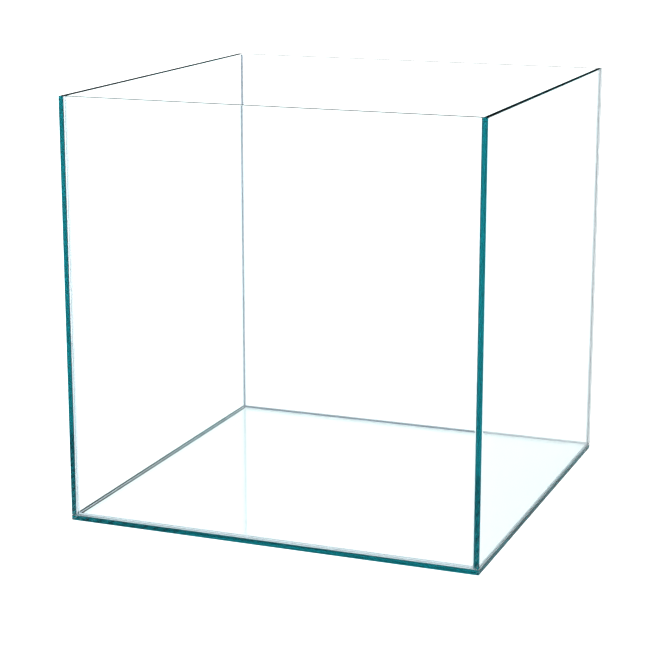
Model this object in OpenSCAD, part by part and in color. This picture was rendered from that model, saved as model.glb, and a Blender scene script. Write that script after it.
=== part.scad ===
// Open-topped rimless glass tank.
// A base pane lies flat and four wall panes stand on it. The two side panes run the full
// depth, and the front and back panes stand between them. A thin strip of clear silicone
// fills each glued joint, and a clear silicone bead runs along each inside corner.
// The origin is the centre of the underside. +X is right, -Y is the front and +Z is up.

/* [Tank] */
// Overall width, across the outside of the side panes
tank_w = 500; // [200:1:900]
// Overall depth, from the front face to the back face
tank_d = 500; // [200:1:900]
// Overall height, from the underside to the rim
tank_h = 500; // [200:1:750]

/* [Glass] */
// Thickness of the four wall panes
wall_t = 6; // [4:0.5:15]
// Thickness of the base pane
base_t = 6; // [4:0.5:19]
// Width of the small chamfer ground along every glass edge
arris = 0.5; // [0.2:0.1:0.8]

/* [Silicone] */
// Thickness of the silicone in each glued joint
bond_t = 0.6; // [0.3:0.1:1.5]
// Leg of the bead along each inside corner, on the glass
bead_leg = 3; // [2.5:0.5:8]
// Depth of the hollow smoothed into the bead's face
bead_hollow = 0.4; // [0.2:0.1:0.6]
// Distance that the upright beads stop below the rim
bead_rim_gap = 1.5; // [1:0.5:10]

/* [Hidden] */

// Half sizes of the outside, and of the inside between the wall panes
out_x = tank_w / 2;
out_y = tank_d / 2;
in_x = out_x - wall_t;
in_y = out_y - wall_t;

// The wall panes stand on the silicone that lies on the base pane
wall_z = base_t + bond_t;
wall_h = tank_h - wall_z;

// The front and back panes leave room for a bond at each end
between_x = in_x - bond_t;

// The bond strips stop at the chamfers on the outside and at the rim
bond_top = tank_h - arris;

// The bead's face is an arc through the two ends of its legs
bead_chord = bead_leg * sqrt(2);
bead_r = (bead_chord * bead_chord / 4 + bead_hollow * bead_hollow) / (2 * bead_hollow);
bead_centre = bead_leg / 2 + (bead_r - bead_hollow) / sqrt(2);
bead_facets = 180;

glass_colour = [0.45, 0.78, 0.78];
silicone_colour = [0.86, 0.88, 0.93];

// A rectangle with its four corners cut off by the arris
module cut_rectangle(a, b) {
  polygon([
    [arris, 0], [a - arris, 0], [a, arris], [a, b - arris],
    [a - arris, b], [arris, b], [0, b - arris], [0, arris]
  ]);
}

// A glass pane with its low corner at the origin and a chamfer along all twelve edges
module pane(x, y, z) {
  color(glass_colour)
    intersection() {
      linear_extrude(z) cut_rectangle(x, y);
      rotate([90, 0, 90]) linear_extrude(x) cut_rectangle(y, z);
      translate([0, y, 0]) rotate([90, 0, 0]) linear_extrude(y) cut_rectangle(x, z);
    }
}

// A plain strip of silicone, given by its low and high corners
module strip(low, high) {
  color(silicone_colour) translate(low) cube(high - low);
}

// Outline that trims the start of a bead at 45 degrees, and its far end if it is mitred too
module mitre_outline(length, far_mitre) {
  polygon([
    [0, 0], [length, 0], [length - (far_mitre ? bead_leg : 0), bead_leg], [bead_leg, bead_leg]
  ]);
}

// A bead along +X from the origin, with its legs on +Y and +Z. Where three beads meet in a
// corner, each keeps the points that are furthest along its own direction.
module bead(length, far_mitre) {
  color(silicone_colour)
    intersection() {
      rotate([90, 0, 90]) linear_extrude(length)
        difference() {
          polygon([[0, 0], [bead_leg, 0], [0, bead_leg]]);
          translate([bead_centre, bead_centre]) circle(r = bead_r, $fn = bead_facets);
        }
      linear_extrude(bead_leg) mitre_outline(length, far_mitre);
      translate([0, bead_leg, 0]) rotate([90, 0, 0]) linear_extrude(bead_leg)
        mitre_outline(length, far_mitre);
    }
}

// The glass
module base_pane() {
  translate([-out_x, -out_y, 0]) pane(tank_w, tank_d, base_t);
}

module left_pane() {
  translate([-out_x, -out_y, wall_z]) pane(wall_t, tank_d, wall_h);
}

module right_pane() {
  mirror([1, 0, 0]) left_pane();
}

module front_pane() {
  translate([-between_x, -out_y, wall_z]) pane(2 * between_x, wall_t, wall_h);
}

module back_pane() {
  mirror([0, 1, 0]) front_pane();
}

// The bonds under the wall panes
module left_base_bond() {
  strip([arris - out_x, arris - out_y, base_t], [-in_x, out_y - arris, wall_z]);
}

module right_base_bond() {
  mirror([1, 0, 0]) left_base_bond();
}

module front_base_bond() {
  strip([-between_x, arris - out_y, base_t], [between_x, -in_y, wall_z]);
}

module back_base_bond() {
  mirror([0, 1, 0]) front_base_bond();
}

// The bonds in the four upright corners, which reach down to the base pane
module front_left_bond() {
  strip([-in_x, arris - out_y, base_t], [-between_x, -in_y, bond_top]);
}

module front_right_bond() {
  mirror([1, 0, 0]) front_left_bond();
}

module back_left_bond() {
  mirror([0, 1, 0]) front_left_bond();
}

module back_right_bond() {
  mirror([0, 1, 0]) front_right_bond();
}

// The beads along the inside edges of the base
module left_base_bead() {
  translate([-in_x, -in_y, base_t]) mirror([1, -1, 0]) bead(2 * in_y, true);
}

module right_base_bead() {
  mirror([1, 0, 0]) left_base_bead();
}

module front_base_bead() {
  translate([-in_x, -in_y, base_t]) bead(2 * in_x, true);
}

module back_base_bead() {
  mirror([0, 1, 0]) front_base_bead();
}

// The beads up the four inside corners
module front_left_bead() {
  translate([-in_x, -in_y, base_t])
    mirror([1, 0, -1]) bead(tank_h - bead_rim_gap - base_t, false);
}

module front_right_bead() {
  mirror([1, 0, 0]) front_left_bead();
}

module back_left_bead() {
  mirror([0, 1, 0]) front_left_bead();
}

module back_right_bead() {
  mirror([0, 1, 0]) front_right_bead();
}

base_pane();
left_pane();
right_pane();
front_pane();
back_pane();
left_base_bond();
right_base_bond();
front_base_bond();
back_base_bond();
front_left_bond();
front_right_bond();
back_left_bond();
back_right_bond();
left_base_bead();
right_base_bead();
front_base_bead();
back_base_bead();
front_left_bead();
front_right_bead();
back_left_bead();
back_right_bead();
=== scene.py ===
"""A rimless glass cube tank on a plain pale floor in soft studio light."""

import math

import bpy
from mathutils import Matrix, Vector


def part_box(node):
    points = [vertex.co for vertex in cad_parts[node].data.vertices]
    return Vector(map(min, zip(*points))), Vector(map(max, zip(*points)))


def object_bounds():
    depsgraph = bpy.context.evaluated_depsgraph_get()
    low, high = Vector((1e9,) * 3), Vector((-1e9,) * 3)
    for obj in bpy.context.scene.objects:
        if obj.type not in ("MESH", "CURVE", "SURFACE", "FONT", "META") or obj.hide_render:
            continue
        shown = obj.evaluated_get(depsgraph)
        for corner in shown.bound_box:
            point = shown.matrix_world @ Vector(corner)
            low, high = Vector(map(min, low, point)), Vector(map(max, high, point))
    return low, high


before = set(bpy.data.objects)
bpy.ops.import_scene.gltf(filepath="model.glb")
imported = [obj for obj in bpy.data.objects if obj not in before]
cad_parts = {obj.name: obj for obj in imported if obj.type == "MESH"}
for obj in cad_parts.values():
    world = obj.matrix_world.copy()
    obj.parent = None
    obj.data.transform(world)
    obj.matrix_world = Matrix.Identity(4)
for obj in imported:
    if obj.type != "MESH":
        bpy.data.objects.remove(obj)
cad_low, cad_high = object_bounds()

MM = 0.001
REACH = 0.05 * MM  # how near a point lies to a neighbour's box to count as touching it
HAIR = 0.02 * MM  # the silicone's faces draw back this far, so that they don't lie in the glass's

# Index of refraction
GLASS_IOR = 1.52
SILICONE_IOR = 1.45
MATCHED_IOR = 1.0  # where two pieces are clear to each other, light goes straight on

# Glass. A flat face has a normal of 1 along one axis, and a chamfer has 0.7 along two.
CHAMFER_FACING = 0.9
CHAMFER_ROUGHNESS = 0.8
EDGE_ROUGHNESS = 0.06
GRIND_SCALE = 400.0
GRIND_DETAIL = 3.0
GRIND_DEPTH = 0.05 * MM
IRON_COLOUR = (0.0, 0.71, 0.735, 1)
IRON_DENSITY = 10.0  # per metre, as the haze densities below are

# Silicone
SILICONE_COLOUR = (0.95, 0.955, 0.98, 1)
SMEAR_SCALE = 90.0
SMEAR_DETAIL = 4.0
SMEAR_ROUGHNESS = 0.2
WAVE_SCALE = 25.0
WAVE_DETAIL = 1.0
WAVE_STRENGTH = 0.5
WAVE_DEPTH = 0.2 * MM
HAZE_COLOUR = (0.0, 0.07, 0.16, 1)
BOND_HAZE = 220.0
BEAD_HAZE = 90.0
# The back beads' haze is painted shade: far denser than the other beads', it darkens them for the dimmer
# light they get.
BACK_BEAD_PAINTED_SHADE_HAZE = 700.0

# Room. Heights are the upward part of a direction, from 0 at the horizon to 1 overhead.
WALL_TOP = 0.4
CEILING_START = 0.8
WALL_GLOW = 0.71
CEILING_GLOW = 0.4

# Mirrored light is dimmed, as a polarising filter would: the low wall and the floor, but not the
# high wall. These are the shares that are left.
LOW_WALL_TOP = 0.15
HIGH_WALL_START = 0.2
LOW_WALL_MIRRORED = 0.05
HIGH_WALL_MIRRORED = 1.0
FLOOR_MIRRORED = 0.4

# Floor
FLOOR_GLOW = 0.6
FLOOR_COLOUR = (0.5, 0.5, 0.5, 1)
FLOOR_ROUGHNESS = 0.9
FLOOR_HALF = 12.0
FLOOR_DROP = 0.4 * MM  # how far the floor lies below the glass

# Camera, in degrees and metres. The offsets are from the tank's centre, along the camera's axes.
AZIMUTH = 21.35
ELEVATION = 13.77
DISTANCE = 2.369
OFFSET_RIGHT = -0.0256
OFFSET_UP = -0.047
LENS_MM = 107.6
SENSOR_MM = 36.0
CLIP_END = 100.0

BOUNCES = 48  # light crosses many faces in a long pane

WHITE = (1, 1, 1, 1)
NODES = sorted(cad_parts)
PANES = [name for name in NODES if name.endswith("_pane")]
BONDS = [name for name in NODES if name.endswith("_bond")]
BEADS = [name for name in NODES if name.endswith("_bead")]
BASE_BEADS = [name for name in NODES if name.endswith("_base_bead")]


# ---------------------------------------------------------------- node helpers


def node(tree, kind, inputs=None, **settings):
    """A shader node with its settings and inputs; a socket given as an input is linked."""
    made = tree.nodes.new(kind)
    for name, value in settings.items():
        setattr(made, name, value)
    for key, value in (inputs or {}).items():
        if isinstance(value, bpy.types.NodeSocket):
            tree.links.new(value, made.inputs[key])
        else:
            made.inputs[key].default_value = value
    return made


def math_node(tree, operation, a, b, c=0.0):
    return node(tree, "ShaderNodeMath", {0: a, 1: b, 2: c}, operation=operation).outputs[0]


def vector_node(tree, operation, a, b=(0, 0, 0)):
    return node(tree, "ShaderNodeVectorMath", {0: a, 1: b}, operation=operation).outputs[0]


def noise(tree, point, scale, detail):
    inputs = {"Vector": point, "Scale": scale, "Detail": detail}
    return node(tree, "ShaderNodeTexNoise", inputs).outputs[0]


def bump(tree, strength, depth, height):
    inputs = {"Strength": strength, "Distance": depth, "Height": height}
    return node(tree, "ShaderNodeBump", inputs).outputs[0]


def absorb(tree, output, colour, density):
    """Fills the material with a clear colour that deepens with distance."""
    volume = node(tree, "ShaderNodeVolumeAbsorption", {"Color": colour, "Density": density})
    tree.links.new(volume.outputs[0], output.inputs["Volume"])


def new_material(name):
    """An empty node material with its output node."""
    made = bpy.data.materials.new(name)
    made.use_nodes = True
    made.node_tree.nodes.clear()
    return made, made.node_tree, made.node_tree.nodes.new("ShaderNodeOutputMaterial")


def inside_box(tree, point, low, high):
    """1 where the point lies in the box grown by REACH, else 0."""
    centre = (low + high) / 2
    half = (high - low) / 2 + Vector((REACH, REACH, REACH))
    offset = vector_node(tree, "ABSOLUTE", vector_node(tree, "SUBTRACT", point, centre))
    past = vector_node(tree, "SUBTRACT", offset, half)
    split = node(tree, "ShaderNodeSeparateXYZ", {0: past}).outputs
    worst = math_node(tree, "MAXIMUM", split[0], math_node(tree, "MAXIMUM", split[1], split[2]))
    return math_node(tree, "LESS_THAN", worst, 0.0)


# ---------------------------------------------------------------- what touches what


def touches(one, other):
    """True if the boxes of two CAD nodes meet."""
    (low_a, high_a), (low_b, high_b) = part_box(one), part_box(other)
    return all(low_a[i] <= high_b[i] + REACH and low_b[i] <= high_a[i] + REACH for i in range(3))


def wetted_neighbours(name):
    """The nodes that light crosses into from this one. Silicone is clear to all that it touches. A
    pane is clear to the base beads alone: its other faces mirror the light that runs inside it."""
    if name in PANES:
        others = BASE_BEADS
    elif name in BEADS:
        others = PANES + BONDS
    else:
        others = PANES + BEADS
    return [other for other in others if touches(name, other)]


def wetted_ior(tree, name, ior):
    """The node's own index, but matched where a neighbour is clear to it."""
    point = node(tree, "ShaderNodeTexCoord").outputs["Object"]
    wetted = 0.0
    for other in wetted_neighbours(name):
        wetted = math_node(tree, "MAXIMUM", wetted, inside_box(tree, point, *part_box(other)))
    return math_node(tree, "MULTIPLY_ADD", wetted, MATCHED_IOR - ior, ior)


# ---------------------------------------------------------------- materials


def chamfers_and_narrow_edges(tree, name):
    """Two masks: 1 on the pane's chamfers, and 1 on all but its two broad faces."""
    low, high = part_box(name)
    thin_axis = min(range(3), key=lambda axis: high[axis] - low[axis])
    normal = node(tree, "ShaderNodeNewGeometry").outputs["Normal"]
    size = vector_node(tree, "ABSOLUTE", normal)
    facing = node(tree, "ShaderNodeSeparateXYZ", {0: size}).outputs
    most = math_node(tree, "MAXIMUM", facing[0], math_node(tree, "MAXIMUM", facing[1], facing[2]))
    chamfer = math_node(tree, "LESS_THAN", most, CHAMFER_FACING)
    narrow = math_node(tree, "LESS_THAN", facing[thin_axis], CHAMFER_FACING)
    return chamfer, narrow


def float_glass(name):
    """Clear float glass: iron in it absorbs red most, so long paths along a pane turn teal. Its
    faces are fire-polished, its narrow edges are polished by a wheel and its chamfers are ground."""
    made, tree, output = new_material("glass_" + name)
    chamfer, narrow = chamfers_and_narrow_edges(tree, name)
    point = node(tree, "ShaderNodeTexCoord").outputs["Object"]
    grind = noise(tree, point, GRIND_SCALE, GRIND_DETAIL)
    polished = math_node(tree, "MULTIPLY", narrow, EDGE_ROUGHNESS)
    ground = math_node(tree, "MULTIPLY", math_node(tree, "MULTIPLY", chamfer, CHAMFER_ROUGHNESS), grind)
    shader = node(
        tree,
        "ShaderNodeBsdfPrincipled",
        {
            "Base Color": WHITE,
            "Roughness": math_node(tree, "ADD", polished, ground),
            "Transmission Weight": 1.0,
            "IOR": wetted_ior(tree, name, GLASS_IOR),
            "Normal": bump(tree, chamfer, GRIND_DEPTH, grind),
        },
    )
    tree.links.new(shader.outputs[0], output.inputs["Surface"])
    absorb(tree, output, IRON_COLOUR, IRON_DENSITY)
    return made


def clear_silicone(name):
    """Clear silicone, faintly cloudy, smoothed by a fingertip that left slight waves and smears."""
    made, tree, output = new_material("silicone_" + name)
    point = node(tree, "ShaderNodeTexCoord").outputs["Object"]
    smears = noise(tree, point, SMEAR_SCALE, SMEAR_DETAIL)
    waves = noise(tree, point, WAVE_SCALE, WAVE_DETAIL)
    shader = node(
        tree,
        "ShaderNodeBsdfPrincipled",
        {
            "Base Color": SILICONE_COLOUR,
            "Roughness": math_node(tree, "MULTIPLY", smears, SMEAR_ROUGHNESS),
            "Transmission Weight": 1.0,
            "IOR": wetted_ior(tree, name, SILICONE_IOR),
            "Normal": bump(tree, WAVE_STRENGTH, WAVE_DEPTH, waves),
        },
    )
    tree.links.new(shader.outputs[0], output.inputs["Surface"])
    absorb(tree, output, HAZE_COLOUR, haze_and_painted_shade_density(name))
    return made


def haze_and_painted_shade_density(name):
    """How cloudy a joint's silicone is. The beads along the back get a far denser haze: painted shade that
    darkens them for the dimmer light they get, not cloudier silicone.
    """
    if name in BONDS:
        return BOND_HAZE
    return BACK_BEAD_PAINTED_SHADE_HAZE if name.startswith("back") else BEAD_HAZE


def dress(name, material):
    """Gives a CAD node its one material."""
    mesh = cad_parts[name].data
    mesh.materials.clear()
    mesh.materials.append(material)


def draw_back(name):
    """Moves a node's faces inwards by a hair."""
    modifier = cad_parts[name].modifiers.new("draw_back", "DISPLACE")
    modifier.mid_level = 0.0
    modifier.strength = -HAIR


for name in PANES:
    dress(name, float_glass(name))
for name in BONDS + BEADS:
    dress(name, clear_silicone(name))
    draw_back(name)


# ---------------------------------------------------------------- floor, light and camera


def seen_directly_or_mirrored(tree, direct, mirrored):
    """One brightness for light that comes straight or through the glass, another in mirrored light."""
    is_mirrored = node(tree, "ShaderNodeLightPath").outputs["Is Reflection Ray"]
    return node(tree, "ShaderNodeMix", {"Factor": is_mirrored, "A": direct, "B": mirrored}).outputs[0]


def step_up(tree, value, start, end, low, high):
    """Goes smoothly from low to high as the value goes from start to end."""
    return node(
        tree,
        "ShaderNodeMapRange",
        {"Value": value, "From Min": start, "From Max": end, "To Min": low, "To Max": high},
        interpolation_type="SMOOTHSTEP",
    ).outputs[0]


def pale_floor():
    """A wide matt floor that glows like a light table, a hair below the glass."""
    mesh = bpy.data.meshes.new("floor")
    around = [(-1, -1), (1, -1), (1, 1), (-1, 1)]
    mesh.from_pydata([(x * FLOOR_HALF, y * FLOOR_HALF, -FLOOR_DROP) for x, y in around], [], [(0, 1, 2, 3)])
    floor = bpy.data.objects.new("floor", mesh)
    bpy.context.collection.objects.link(floor)
    made, tree, output = new_material("floor_paint")
    shader = node(
        tree,
        "ShaderNodeBsdfPrincipled",
        {
            "Base Color": FLOOR_COLOUR,
            "Roughness": FLOOR_ROUGHNESS,
            "Emission Color": WHITE,
            "Emission Strength": seen_directly_or_mirrored(
                tree, FLOOR_GLOW, FLOOR_GLOW * FLOOR_MIRRORED
            ),
        },
    )
    tree.links.new(shader.outputs[0], output.inputs["Surface"])
    mesh.materials.append(made)


def studio_world():
    """An even white room to above eye level, with a dimmer ceiling."""
    world = bpy.data.worlds.new("studio")
    world.use_nodes = True
    tree = world.node_tree
    direction = node(tree, "ShaderNodeTexCoord").outputs["Generated"]
    height = node(tree, "ShaderNodeSeparateXYZ", {0: direction}).outputs[2]
    room = step_up(tree, height, WALL_TOP, CEILING_START, WALL_GLOW, CEILING_GLOW)
    share = step_up(
        tree, height, LOW_WALL_TOP, HIGH_WALL_START, LOW_WALL_MIRRORED, HIGH_WALL_MIRRORED
    )
    glow = seen_directly_or_mirrored(tree, room, math_node(tree, "MULTIPLY", room, share))
    background = tree.nodes["Background"]
    background.inputs["Color"].default_value = WHITE
    tree.links.new(glow, background.inputs["Strength"])
    bpy.context.scene.world = world


def camera():
    """Looks down a little from the front right, with a long lens."""
    data = bpy.data.cameras.new("camera")
    data.lens = LENS_MM
    data.sensor_width = SENSOR_MM
    data.clip_end = CLIP_END
    made = bpy.data.objects.new("camera", data)
    bpy.context.collection.objects.link(made)
    azimuth, elevation = math.radians(AZIMUTH), math.radians(ELEVATION)
    level_ahead = Vector((-math.sin(azimuth), math.cos(azimuth), 0))
    ahead = level_ahead * math.cos(elevation) - Vector((0, 0, math.sin(elevation)))
    right = Vector((math.cos(azimuth), math.sin(azimuth), 0))
    up = right.cross(ahead)
    centre = (Vector(cad_low) + Vector(cad_high)) / 2
    turn = Matrix((right, up, -ahead)).transposed().to_4x4()
    turn.translation = centre - ahead * DISTANCE + right * OFFSET_RIGHT + up * OFFSET_UP
    made.matrix_world = turn
    bpy.context.scene.camera = made


pale_floor()
studio_world()
camera()

scene = bpy.context.scene
scene.view_settings.view_transform = "Standard"
scene.view_settings.look = "Very High Contrast"
scene.cycles.max_bounces = BOUNCES
scene.cycles.transmission_bounces = BOUNCES
scene.cycles.glossy_bounces = BOUNCES
